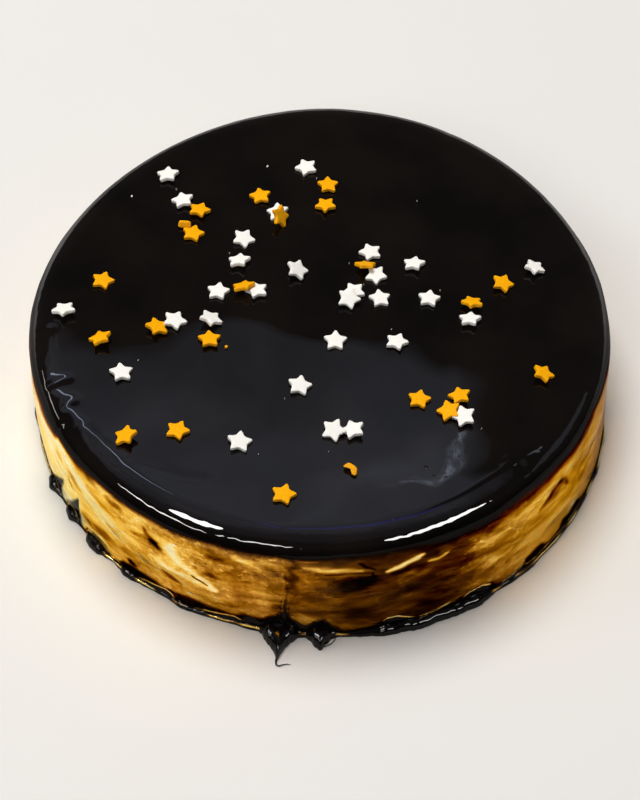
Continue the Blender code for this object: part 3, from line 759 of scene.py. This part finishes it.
def glaze_material():
    m = Nodes("mirror_glaze")
    where = m.new("ShaderNodeTexCoord").outputs["Object"]
    tone, gold, red_shade = m.attribute("tone"), m.attribute("gold"), m.attribute("red_shade")

    # painted reflection of the gold board: swirls of lighter and darker tone, long round the cake and short up and down
    grain, shine = m.attribute("grain"), m.attribute("shine")
    streak = m.noise(m.stretched(where, 22, 22, 62), 1.0, 2.0, 0.45, 1.6)
    fine = m.noise(m.stretched(where, 115, 115, 205), 1.0, 2.0, 0.5, 1.2)
    # the crinkle of the gold foil board, painted into the reflection
    reflected_foil = m.noise(m.stretched(where, 520, 520, 620), 1.0, 3.0, 0.55, 0.9)
    # fine streaks painted into the reflection
    fine_reflection_streak = m.noise(m.stretched(where, 900, 900, 170), 1.0, 2.0, 0.5, 0.4)
    rich = m.math("MULTIPLY_ADD", grain, 0.70, 0.30)
    var = m.math("ADD", tone, m.remap(streak, 0.32, 0.68, -0.10, 0.10))
    var = m.math("MULTIPLY_ADD", m.remap(fine, 0.32, 0.68, -0.10, 0.10), rich, var)
    var = m.math("MULTIPLY_ADD", m.remap(reflected_foil, 0.30, 0.70, -0.10, 0.10), m.math("MULTIPLY", rich, rich), var)
    var = m.math("MULTIPLY_ADD", m.remap(fine_reflection_streak, 0.30, 0.70, -0.035, 0.035), grain, var)
    # painted thin wavy lines of reflected light and of shade, broken here and there
    flow = m.noise(m.stretched(where, 30, 30, 78), 1.0, 1.5, 0.45, 2.2)
    light_line = m.remap(m.math("ABSOLUTE", m.math("SUBTRACT", flow, 0.52)), 0.0, 0.030, 1.0, 0.0)
    flow2 = m.noise(m.stretched(where, 42, 42, 110), 1.0, 1.5, 0.45, 2.6)
    dark_line = m.remap(m.math("ABSOLUTE", m.math("SUBTRACT", flow2, 0.47)), 0.0, 0.022, 1.0, 0.0)
    broken = m.remap(streak, 0.42, 0.60, 0.0, 1.0)
    var = m.math("MULTIPLY_ADD", m.math("MULTIPLY", light_line, broken), 0.13, var)
    var = m.math("MULTIPLY_ADD", m.math("MULTIPLY", dark_line, m.math("SUBTRACT", 1.0, broken)), -0.12, var)
    # painted glints where the reflected foil crinkles
    painted_glint = m.math("MULTIPLY", m.remap(reflected_foil, 0.58, 0.66, 0.0, 0.26), m.math("MULTIPLY", grain, m.remap(fine, 0.50, 0.62, 0.0, 1.0)))
    var = m.math("ADD", var, painted_glint)
    # dark places stay calm
    var = m.math("MULTIPLY_ADD", m.math("SUBTRACT", var, tone), m.remap(tone, 0.02, 0.40, 0.30, 1.0), tone, clamp=True)
    gold_col = m.ramp(var, (
        gold_stop(0.00, 16, 8, 3), gold_stop(0.10, 44, 24, 9), gold_stop(0.25, 88, 53, 18),
        gold_stop(0.42, 142, 93, 29), gold_stop(0.55, 180, 130, 52), gold_stop(0.68, 212, 163, 70),
        gold_stop(0.80, 238, 198, 96), gold_stop(0.92, 251, 229, 144), gold_stop(1.00, 255, 243, 190)))
    # the painted reflection turns redder and darker by the red shade amount
    redder = m.mix(red_shade, gold_col, (1.0, 0.78, 0.52, 1.0), "MULTIPLY")

    # the metallic gold stands for the painted reflection of the gold board; the rest is the dark glaze
    edge = m.math("MULTIPLY_ADD", m.math("SUBTRACT", fine, 0.5), 0.35, gold)
    mask = m.remap(edge, 0.15, 0.85, 0.0, 1.0)
    dark = m.mix(m.remap(m.noise(where, 34.0, 4.0), 0.3, 0.7, 0.0, 1.0), (0.0010, 0.0007, 0.0006, 1.0), (0.0046, 0.0031, 0.0025, 1.0))
    colour = m.mix(mask, dark, redder)

    rough = m.math("MULTIPLY_ADD", mask, m.remap(fine, 0.3, 0.7, 0.08, 0.18), 0.05)
    ripple = m.noise(m.stretched(where, 70, 70, 240), 1.0, 3.0, 0.5, 0.6)
    normal = m.bump(m.math("MULTIPLY", ripple, mask), 0.0010, 0.35)
    pore = m.noise(where, 1500.0, 2.0)
    normal = m.bump(pore, 0.00002, 0.25, normal)
    m.set(Base_Color=colour, Metallic=m.math("MULTIPLY", mask, 0.93), Roughness=rough, Normal=normal)
    m.bsdf.inputs["Specular IOR Level"].default_value = 0.0
    # seen along the wall the gold keeps its own colour
    edge_on = m.new("ShaderNodeGamma")
    m.link(colour, edge_on.inputs["Color"])
    edge_on.inputs["Gamma"].default_value = 0.40
    m.link(edge_on.outputs["Color"], m.bsdf.inputs["Specular Tint"])
    m.set(Coat_Weight=m.math("MULTIPLY", m.math("MULTIPLY_ADD", mask, -0.97, 1.0), shine))
    m.bsdf.inputs["Coat Roughness"].default_value = 0.012
    m.bsdf.inputs["Coat IOR"].default_value = 1.43
    return m.mat


def sugar_material(name, light, deep, amount):
    m = Nodes(name)
    where = m.new("ShaderNodeTexCoord").outputs["Object"]
    grain = m.noise(where, 900.0, 4.0, 0.6)
    cloud = m.noise(where, 160.0, 3.0, 0.5)
    col = m.mix(m.math("MULTIPLY", cloud, 0.5), light, deep)
    col = m.mix(m.remap(grain, 0.35, 0.75, 0.0, amount), col, deep)
    normal = m.bump(grain, 0.00016, 0.5)
    normal = m.bump(cloud, 0.0004, 0.25, normal)
    m.set(Base_Color=col, Roughness=m.remap(grain, 0.3, 0.7, 0.48, 0.66), Normal=normal)
    m.bsdf.inputs["Specular IOR Level"].default_value = 0.09
    return m.mat


# -------------------------------------------------------------- sprinkles
STAR_R, STAR_IN, STAR_T = 4.70, 2.52, 1.55
STAR_SINK = 0.15
# (x mm, y mm, spin degrees, lean east mm/mm, lean north mm/mm, size, lift mm)
WHITE_STARS = (
    (-6.7, 66.8, 24.7, -0.06, 0.03, 1.00, 0.0), (-57.0, 61.2, 71.5, -0.14, 0.14, 1.00, 0.0),
    (-50.9, 48.7, 12.6, -0.16, 0.15, 1.01, 0.0), (-28.2, 31.1, 47.4, 0.11, -0.09, 1.005, 0.0),
    (-29.4, 20.2, 65.9, -0.17, 0.31, 1.00, 0.0), (17.0, 26.2, 21.1, 0.0, 0.075, 1.00, 0.0),
    (32.5, 20.8, 59.8, -0.12, 0.26, 0.97, 0.0), (-8.7, 16.1, 64.1, 0.46, -0.11, 1.005, 0.0),
    (75.1, 20.2, 33.1, 0.26, 0.22, 0.93, 0.0), (19.1, 15.3, 38.4, -0.10, -0.11, 0.955, 0.0),
    (-36.2, 6.3, 63.7, -0.02, 0.045, 0.99, 0.0), (-22.7, 6.9, 19.3, -0.04, 0.16, 0.995, 0.0),
    (20.5, 4.8, 10.4, 0.055, 0.01, 0.955, 0.0), (37.7, 5.2, 63.7, 0.03, 0.09, 0.97, 0.0),
    (-89.3, -4.5, 35.6, -0.10, 0.355, 1.04, 0.0), (-38.1, -7.1, 37.3, 0.305, 0.275, 1.01, 0.0),
    (-50.6, -7.7, 50.5, 0.15, 0.05, 1.035, 0.0), (51.8, -4.2, 63.8, -0.085, 0.28, 0.965, 0.0),
    (5.2, -14.9, 71.8, 0.035, -0.085, 1.00, 0.0), (26.4, -14.8, 50.3, -0.02, 0.13, 0.985, 0.0),
    (-67.5, -31.2, 11.9, 0.09, 0.10, 1.01, 0.0), (-6.6, -35.1, 65.0, 0.15, -0.03, 1.02, 0.0),
    (48.9, -47.2, 15.4, -0.16, -0.10, 1.015, 0.75), (-26.1, -59.6, 68.2, 0.14, -0.02, 1.04, 0.0),
    (-16.5, 44.1, 2.3, -0.18, -0.04, 0.99, 0.0), (11.4, 7.8, 29.8, -0.04, 0.05, 0.98, 0.0),
    (9.6, 3.3, 52.8, 0.07, -0.27, 1.01, 0.55), (5.2, -54.2, 47.7, -0.08, -0.30, 1.03, 0.0),
    (11.7, -53.6, 17.0, -0.22, 0.11, 1.01, 0.0),
)
AMBER_STARS = (
    (1.4, 58.3, 4.1, 0.05, 0.04, 0.95, 0.0), (-23.0, 51.9, 10.6, -0.08, 0.095, 0.975, 0.0),
    (0.7, 48.1, 34.7, -0.05, 0.16, 0.945, 0.0), (-44.6, 44.1, 52.7, 0.05, 0.20, 0.97, 0.0),
    (-15.4, 40.2, 11.9, 0.91, -0.34, 1.01, 0.0), (-76.9, 10.0, 57.1, 0.04, 0.02, 0.985, 0.0),
    (63.7, 12.7, 53.3, 0.22, -0.02, 0.965, 0.0), (-27.4, 7.8, 63.9, -0.23, 0.52, 1.005, 0.0),
    (52.7, 3.2, 24.3, 0.07, 0.43, 0.95, 0.0), (-56.5, -11.2, 23.0, 0.27, 0.17, 1.01, 0.0),
    (-75.7, -17.0, 13.7, -0.31, 0.315, 1.005, 0.0), (-38.2, -15.7, 6.1, 0.015, 0.15, 0.985, 0.0),
    (76.4, -27.8, 50.5, 0.34, 0.12, 0.955, 0.0), (34.0, -39.5, 61.1, 0.03, 0.02, 0.97, 0.0),
    (-47.0, -55.2, 50.0, -0.02, 0.05, 1.00, 0.0), (-64.1, -58.8, 61.9, -0.40, 0.09, 1.015, 0.0),
    (-10.8, -80.5, 57.5, 0.03, 0.045, 1.03, 0.0), (15.3, 18.7, 6.2, 0.02, 0.64, 0.945, 0.0),
    (47.7, -38.0, 11.2, -0.185, 0.16, 0.96, 0.0), (43.9, -44.7, 12.2, -0.26, -0.095, 1.01, 0.0),
    (-46.35, 33.1, 59.9, 0.04, 0.06, 0.98, 0.0),
)


def star_outline(steps=5, tip=0.393, inner=0.24):
    """Five-pointed outline with every corner rounded, one unit being a millimetre."""
    corners = []
    for i in range(10):
        r = STAR_R if i % 2 == 0 else STAR_IN
        a = math.pi / 2 + i * math.pi / 5
        corners.append(np.array((r * math.cos(a), r * math.sin(a))))
    out = []
    for i in range(10):
        p, a, b = corners[i], corners[i - 1], corners[(i + 1) % 10]
        cut = tip if i % 2 == 0 else inner
        start, end = p + (a - p) * cut, p + (b - p) * cut
        for k in range(steps + 1):
            t = k / steps
            out.append((1 - t) ** 2 * start + 2 * t * (1 - t) * p + t * t * end)
    return np.array(out)


def tilt_matrix(spin, tx, ty):
    """Spin about +Z, then lean so that the face turns towards (tx, ty)."""
    m = Matrix.Rotation(spin, 3, "Z")
    lean = math.hypot(tx, ty)
    if lean > 1e-9:
        m = Matrix.Rotation(lean, 3, Vector((-ty / lean, tx / lean, 0.0))) @ m
    return np.array(m)


def pressed_rows(outline, thick, rng):
    """Rows of a pressed sugar shape: soft edges, faces very slightly domed."""
    rows = []
    half = thick / 2.0
    wob = 1.0 + 0.012 * rng.standard_normal(5)
    prof = ((0.45, -half - 0.00), (0.80, -half), (0.93, -half + 0.05), (0.985, -half + 0.22), (1.0, -half + 0.50),
            (1.0, half - 0.42), (0.985, half - 0.20), (0.94, half - 0.055), (0.84, half + 0.00), (0.48, half + 0.05))
    for f, z in prof:
        pts = outline * f
        a = np.arctan2(pts[:, 1], pts[:, 0])
        r = np.hypot(pts[:, 0], pts[:, 1])
        r = r * (1.0 + 0.012 * np.cos(2 * a + wob[0] * 9) + 0.010 * np.cos(3 * a + wob[1] * 17))
        rows.append(np.c_[r * np.cos(a), r * np.sin(a), np.full(len(r), z)])
    return rows


def add_pressed(verts, faces, outline, thick, spin, tx, ty, size, place, rng):
    """Adds one pressed piece, resting on the glaze at its lowest point."""
    rows = pressed_rows(outline * size, thick, rng)
    m = tilt_matrix(spin, tx, ty)
    pts = np.concatenate(rows + [np.array([[0, 0, -thick / 2.0], [0, 0, thick / 2.0 + 0.06]])])
    pts[:, 2] += 0.03 * np.sin(pts[:, 0] * 2.1 + size * 40) * np.cos(pts[:, 1] * 1.9 + spin)
    pts = pts @ m.T
    x, y, lift = place
    pts[:, 2] += CAKE_H - STAR_SINK - pts[:, 2].min() + lift
    pts[:, 0] += x
    pts[:, 1] += y
    base = sum(len(v) for v in verts)
    n = len(outline)
    for i in range(len(rows) - 1):
        a, b = base + i * n, base + (i + 1) * n
        for j in range(n):
            k = (j + 1) % n
            faces.append((a + j, a + k, b + k, b + j))
    low, high = base + len(rows) * n, base + len(rows) * n + 1
    top = base + (len(rows) - 1) * n
    for j in range(n):
        k = (j + 1) % n
        faces.append((low, base + k, base + j))
        faces.append((high, top + j, top + k))
    verts.append(pts)


def finish_mesh(name, verts, faces, material, angle=50.0):
    mesh = bpy.data.meshes.new(name)
    mesh.from_pydata((np.concatenate(verts) * MM).tolist(), [], faces)
    mesh.shade_smooth()
    mesh.set_sharp_from_angle(angle=math.radians(angle))
    mesh.materials.append(material)
    ob = bpy.data.objects.new(name, mesh)
    scene.collection.objects.link(ob)
    return ob


def stars(name, table, material, seed, extras=()):
    rng = np.random.RandomState(seed)
    outline = star_outline()
    verts, faces = [], []
    for x, y, spin, tx, ty, size, lift in table:
        add_pressed(verts, faces, outline, STAR_T, math.radians(spin), tx, ty, size, (x, y, lift), rng)
    for shape, thick, spin, tx, ty, size, place in extras:
        add_pressed(verts, faces, shape, thick, math.radians(spin), tx, ty, size, place, rng)
    return finish_mesh(name, verts, faces, material)


def broken_outline(points, steps=4, cut=0.3):
    """Closed outline with rounded corners, through a few corners."""
    out = []
    n = len(points)
    pts = [np.array(p, float) for p in points]
    for i in range(n):
        p, a, b = pts[i], pts[i - 1], pts[(i + 1) % n]
        s, e = p + (a - p) * cut, p + (b - p) * cut
        for k in range(steps + 1):
            t = k / steps
            out.append((1 - t) ** 2 * s + 2 * t * (1 - t) * p + t * t * e)
    return np.array(out)


# ------------------------------------------------------- camera, light, floor
def place_camera():
    elev, roll, dist = math.radians(52.0514), math.radians(1.3823), 0.87453
    back = Vector((0.0, -math.cos(elev), math.sin(elev)))
    right0 = Vector((1.0, 0.0, 0.0))
    up0 = right0.cross(-back)
    right = right0 * math.cos(roll) + up0 * math.sin(roll)
    up = -right0 * math.sin(roll) + up0 * math.cos(roll)
    cam = bpy.data.objects.new("camera", bpy.data.cameras.new("camera"))
    cam.data.lens = 108.0
    cam.data.sensor_width = 36.0
    cam.data.clip_start = 0.05
    cam.matrix_world = Matrix((
        (right.x, up.x, back.x, 0.000388 + back.x * dist),
        (right.y, up.y, back.y, -0.002382 + back.y * dist),
        (right.z, up.z, back.z, back.z * dist),
        (0.0, 0.0, 0.0, 1.0)))
    scene.collection.objects.link(cam)
    scene.camera = cam


def softbox(name, azimuth, elevation, distance, wide, tall, radiance, colour=(1.0, 1.0, 1.0), shape="ELLIPSE", roll=0.0,
            seen="glossy"):
    """An area light that faces the middle of the cake's top, as bright as stated per area.

    One kind only shows in glossy surfaces, as a highlight; the other only lights dull ones, from above.
    """
    data = bpy.data.lights.new(name, "AREA")
    data.shape = shape
    data.size, data.size_y = wide, tall
    area = wide * tall * (math.pi / 4.0 if shape == "ELLIPSE" else 1.0)
    data.energy = radiance * area * math.pi
    data.color = colour
    ob = bpy.data.objects.new(name, data)
    a, e = math.radians(azimuth), math.radians(elevation)
    out = Vector((math.cos(e) * math.cos(a), math.cos(e) * math.sin(a), math.sin(e)))
    ob.location = Vector((0.0, 0.0, 0.045)) + out * distance
    q = out.to_track_quat("Z", "Y").to_matrix() @ Matrix.Rotation(math.radians(roll), 3, "Z")
    ob.rotation_euler = q.to_euler()
    ob.visible_diffuse = seen == "diffuse"
    ob.visible_glossy = seen == "glossy"
    scene.collection.objects.link(ob)
    return ob


def dim_ceiling(name, x_lo, x_hi, y_lo, y_hi, z, radiance, colour):
    """A dim overhead glow that fades towards the front and the right, so the rim goes dark softly."""
    data = bpy.data.lights.new(name, "AREA")
    data.shape = "RECTANGLE"
    data.size, data.size_y = x_hi - x_lo, y_hi - y_lo
    data.energy = data.size * data.size_y * math.pi
    data.use_nodes = True
    n = Nodes.__new__(Nodes)
    n.tree = data.node_tree
    emit = n.tree.nodes["Emission"]
    place = n.new("ShaderNodeNewGeometry").outputs["Position"]
    sep = n.new("ShaderNodeSeparateXYZ")
    n.link(place, sep.inputs[0])
    wave = n.noise(place, 4.0, 3.0, 0.5, 0.8)
    y = n.math("MULTIPLY_ADD", n.math("SUBTRACT", wave, 0.5), 0.30, sep.outputs[1])
    level = n.math("ADD", n.remap(y, -0.35, 0.40, 0.0, 0.58), n.remap(y, -1.1, 0.0, 0.18, 0.42))
    level = n.math("MULTIPLY", level, n.remap(sep.outputs[1], 0.757, 1.02, 1.0, 0.0))
    side = n.math("MULTIPLY_ADD", sep.outputs[1], 0.8, sep.outputs[0])
    level = n.math("MULTIPLY", level, n.remap(side, 1.10, 1.50, 1.0, 0.0))
    level = n.math("MULTIPLY", level, n.remap(sep.outputs[0], x_lo, x_lo + 0.40, 0.0, 1.0))
    level = n.math("MULTIPLY", level, n.remap(wave, 0.35, 0.65, 0.78, 1.22))
    n.link(n.math("MULTIPLY", level, radiance), emit.inputs["Strength"])
    emit.inputs["Color"].default_value = colour + (1.0,)
    ob = bpy.data.objects.new(name, data)
    ob.location = Vector(((x_lo + x_hi) / 2.0, (y_lo + y_hi) / 2.0, z))
    ob.visible_diffuse = False
    scene.collection.objects.link(ob)
    return ob


def cloudy_panel(name, x_lo, x_hi, y, z_lo, z_hi, radiance, colour, corner, streak_x):
    """A dim upright glow behind the cake, facing -Y, uneven like daylight on a wall.

    corner is the radius of its lower right corner and streak_x where the wispy streak starts, in metres.
    """
    wide, tall = x_hi + 0.14 - x_lo, z_hi - z_lo
    data = bpy.data.lights.new(name, "AREA")
    data.shape = "RECTANGLE"
    data.size, data.size_y = wide, tall
    data.energy = wide * tall * math.pi
    data.use_nodes = True
    tree = data.node_tree
    emit = tree.nodes["Emission"]
    n = Nodes.__new__(Nodes)
    n.tree = tree
    place = n.new("ShaderNodeNewGeometry").outputs["Position"]
    sep = n.new("ShaderNodeSeparateXYZ")
    n.link(place, sep.inputs[0])
    wave = n.noise(place, 9.0, 2.0, 0.5)
    cloud = n.noise(place, 5.5, 4.0, 0.55, 0.6)
    x = n.math("MULTIPLY_ADD", n.math("SUBTRACT", wave, 0.5), 0.10, sep.outputs[0])
    x = n.math("SUBTRACT", x, n.remap(sep.outputs[2], z_lo + 0.158, z_lo + 0.186, 0.0, 0.06))
    z = n.math("MULTIPLY_ADD", n.math("SUBTRACT", wave, 0.5), -0.07, sep.outputs[2])
    # how far inside the rounded lower right corner
    dx = n.math("MAXIMUM", n.math("SUBTRACT", x, x_hi - corner), 0.0)
    dz = n.math("MAXIMUM", n.math("SUBTRACT", z_lo + corner, z), 0.0)
    reach = n.math("SQRT", n.math("ADD", n.math("MULTIPLY", dx, dx), n.math("MULTIPLY", dz, dz)))
    inside = n.remap(reach, corner * 0.78, corner, 1.0, 0.0)
    left = n.remap(sep.outputs[0], x_lo, x_lo + 0.30, 0.0, 1.0)
    high = n.remap(sep.outputs[2], z_hi - 0.45, z_hi, 1.0, 0.0)
    lifted = n.remap(sep.outputs[2], z_lo, z_lo + 0.14, 0.55, 1.0)
    level = n.math("MULTIPLY", n.math("MULTIPLY", inside, left), n.math("MULTIPLY", high, lifted))
    level = n.math("MULTIPLY", level, n.remap(cloud, 0.30, 0.70, 0.72, 1.28))
    # a brighter, wispy edge that bends over to the left as it rises
    rise = n.math("MAXIMUM", n.math("SUBTRACT", sep.outputs[2], z_lo + 0.113), 0.0)
    bend = n.math("MAXIMUM", n.math("SUBTRACT", sep.outputs[2], z_lo + 0.150), 0.0)
    wisp = n.noise(n.stretched(place, 60, 60, 40), 1.0, 3.0, 0.6, 1.2)
    grain = n.noise(place, 330.0, 1.5, 0.6)
    edge = n.math("MULTIPLY_ADD", rise, -0.17, streak_x)
    edge = n.math("MULTIPLY_ADD", bend, -0.82, edge)
    off = n.math("ADD", n.math("SUBTRACT", sep.outputs[0], edge), n.remap(wisp, 0.3, 0.7, -0.004, 0.004))
    line = n.remap(n.math("ABSOLUTE", off), 0.0005, 0.0065, 1.0, 0.0)
    line = n.math("MULTIPLY", line, n.math("MULTIPLY", n.remap(sep.outputs[2], z_lo + 0.095, z_lo + 0.115, 0.0, 1.0),
                                           n.remap(sep.outputs[2], z_lo + 0.168, z_lo + 0.200, 1.0, 0.0)))
    line = n.math("MULTIPLY", line, n.remap(sep.outputs[0], 0.056, 0.080, 0.0, 1.0))
    # it is broadest where it bends
    from_knot = n.math("MULTIPLY", n.math("ABSOLUTE", n.math("SUBTRACT", sep.outputs[2], z_lo + 0.148)), 0.45)
    knot = n.remap(n.math("ADD", n.math("ABSOLUTE", n.math("ADD", off, 0.002)), from_knot), 0.002, 0.017, 1.0, 0.0)
    line = n.math("MULTIPLY", n.math("MAXIMUM", line, knot), n.remap(wisp, 0.36, 0.62, 0.7, 4.6))
    line = n.math("MULTIPLY", line, n.remap(grain, 0.36, 0.64, 0.45, 1.55))
    glow = n.math("MULTIPLY", n.remap(n.math("ABSOLUTE", n.math("ADD", off, 0.028)), 0.0, 0.045, 1.0, 0.0),
                  n.remap(sep.outputs[2], z_lo + 0.07, z_lo + 0.15, 0.0, 1.0))
    glow = n.math("MULTIPLY", glow, n.remap(sep.outputs[2], z_lo + 0.18, z_lo + 0.30, 1.0, 0.0))
    level = n.math("ADD", level, n.math("ADD", line, n.math("MULTIPLY", glow, n.remap(cloud, 0.35, 0.65, 0.20, 0.60))))
    n.link(n.math("MULTIPLY", level, radiance), emit.inputs["Strength"])
    emit.inputs["Color"].default_value = colour + (1.0,)
    ob = bpy.data.objects.new(name, data)
    ob.location = Vector((x_lo + wide / 2.0, y, (z_lo + z_hi) / 2.0))
    ob.rotation_euler = (-math.pi / 2.0, 0.0, 0.0)
    scene.collection.objects.link(ob)
    return ob


def place_lights():
    softbox("soft_right", -43.5, 41.5, 2.2, 1.24, 0.42, 34.0, (1.0, 0.99, 0.97))
    softbox("soft_left_high", -145.0, 58.5, 2.2, 0.50, 0.54, 38.0, (1.0, 0.99, 0.98))
    softbox("soft_left_low", -143.0, 33.5, 2.2, 1.20, 0.14, 32.0, (1.0, 0.96, 0.92))
    softbox("soft_front", -108.0, 36.0, 2.2, 0.90, 0.15, 26.0, (1.0, 0.99, 0.98))
    softbox("soft_left", 166.0, 17.5, 2.2, 0.62, 0.16, 8.0, (1.0, 0.93, 0.86))
    softbox("cool_left", 131.0, 52.0, 2.2, 1.30, 0.11, 6.5, (0.66, 0.76, 1.0), roll=-45.0)
    softbox("cool_right", 40.0, 58.0, 2.2, 0.62, 0.045, 1.8, (0.72, 0.82, 1.0), roll=20.0)
    softbox("deep_blue_1", 98.0, 68.0, 2.0, 0.09, 0.36, 1.1, (0.015, 0.05, 1.0))
    softbox("deep_blue_2", 76.0, 70.5, 2.0, 0.40, 0.30, 1.0, (0.015, 0.05, 1.0), roll=12.0)
    softbox("cool_side", 6.0, 33.0, 2.2, 1.3, 0.62, 0.40, (0.80, 0.82, 1.0))
    softbox("top_soft", 120.0, 74.0, 2.6, 1.5, 1.5, 11.6, (1.0, 0.985, 0.96), seen="diffuse")
    softbox("front_soft", -120.0, 48.0, 2.8, 1.4, 1.4, 4.3, (1.0, 0.985, 0.96), seen="diffuse")
    softbox("left_soft", 178.0, 38.0, 2.8, 1.2, 0.9, 3.4, (1.0, 0.985, 0.96), seen="diffuse")
    cloudy_panel("cool_back", -1.75, 0.121, 0.60, 0.79, 1.75, 0.58, (0.72, 0.79, 1.0), 0.11, 0.112)
    dim_ceiling("cool_ceiling", -2.2, 1.6, -1.3, 1.10, 2.2, 0.52, (0.76, 0.76, 0.96))
    world = bpy.data.worlds.new("studio")
    world.use_nodes = True
    bg = world.node_tree.nodes["Background"]
    bg.inputs["Color"].default_value = (0.085, 0.078, 0.075, 1.0)
    bg.inputs["Strength"].default_value = 1.0
    scene.world = world


def place_floor():
    bpy.ops.mesh.primitive_plane_add(size=8.0, location=(0.0, 0.0, -0.0002))
    floor = bpy.context.active_object
    floor.name = "floor"
    m = Nodes("pale_floor")
    where = m.new("ShaderNodeTexCoord").outputs["Object"]
    soft = m.noise(where, 9.0, 3.0)
    col = m.mix(soft, (0.70, 0.69, 0.67, 1.0), (0.72, 0.71, 0.69, 1.0))
    m.set(Base_Color=col, Roughness=0.85)
    m.bsdf.inputs["Specular IOR Level"].default_value = 0.1
    floor.data.materials.append(m.mat)
    return floor


# -------------------------------------------------------------------- build
place_camera()
place_floor()
place_lights()
scene.view_settings.view_transform = "Standard"
scene.view_settings.look = "None"

cake = glazed_cake()
cake.data.materials.append(glaze_material())
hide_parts("cake")
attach(cake, "root")

white_sugar = sugar_material("white_sugar", (0.85, 0.84, 0.80, 1.0), (0.75, 0.73, 0.68, 1.0), 0.35)
amber_sugar = sugar_material("amber_sugar", (0.89, 0.415, 0.0008, 1.0), (0.78, 0.29, 0.0004, 1.0), 0.45)

crumb = broken_outline(((-0.75, -0.4), (-0.2, 0.6), (0.8, 0.4), (0.6, -0.5)), 4, 0.35)
SPECKS = ((-21.0, 67.5, 0.62), (-69.5, 51.0, 0.60), (-33.0, 24.6, 0.26), (9.6, 21.4, 0.28), (14.8, 11.6, 0.24), (41.6, 9.6, 0.24),
          (-2.8, 62.0, 0.24), (-53.6, 55.0, 0.28), (24.6, -8.6, 0.26), (-11.6, -40.2, 0.26), (-62.2, -25.2, 0.24),
          (54.8, -51.0, 0.26), (-19.6, -64.0, 0.24), (33.8, 52.0, 0.30), (3.6, -62.2, 0.24))
white = stars("white_stars", WHITE_STARS, white_sugar, 4, extras=[
    (crumb, 0.55 * size, 70.0 * i, 0.0, 0.0, size, (x, y, 0.05)) for i, (x, y, size) in enumerate(SPECKS)])
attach(white, "root")

half_star = broken_outline(((-2.9, -1.0), (-1.9, 1.3), (0.2, 1.6), (2.0, 1.2), (3.2, -0.9), (1.7, -1.6), (0.3, -0.1), (-1.3, -0.5)))
stub = broken_outline(((-2.4, -1.2), (-2.1, 1.2), (2.1, 1.3), (2.5, -1.2)), 4, 0.28)
amber = stars("amber_stars", AMBER_STARS, amber_sugar, 9, extras=(
    (half_star, 1.7, -38.0, -0.30, -0.55, 0.95, (11.2, -69.7, 0.0)),
    (stub, 1.6, -4.0, 0.05, -1.05, 1.0, (-49.6, 37.1, 0.0)),
    (crumb, 0.8, 40.0, 0.1, 0.1, 1.0, (-32.4, -18.4, 0.0)),
))
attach(amber, "root")
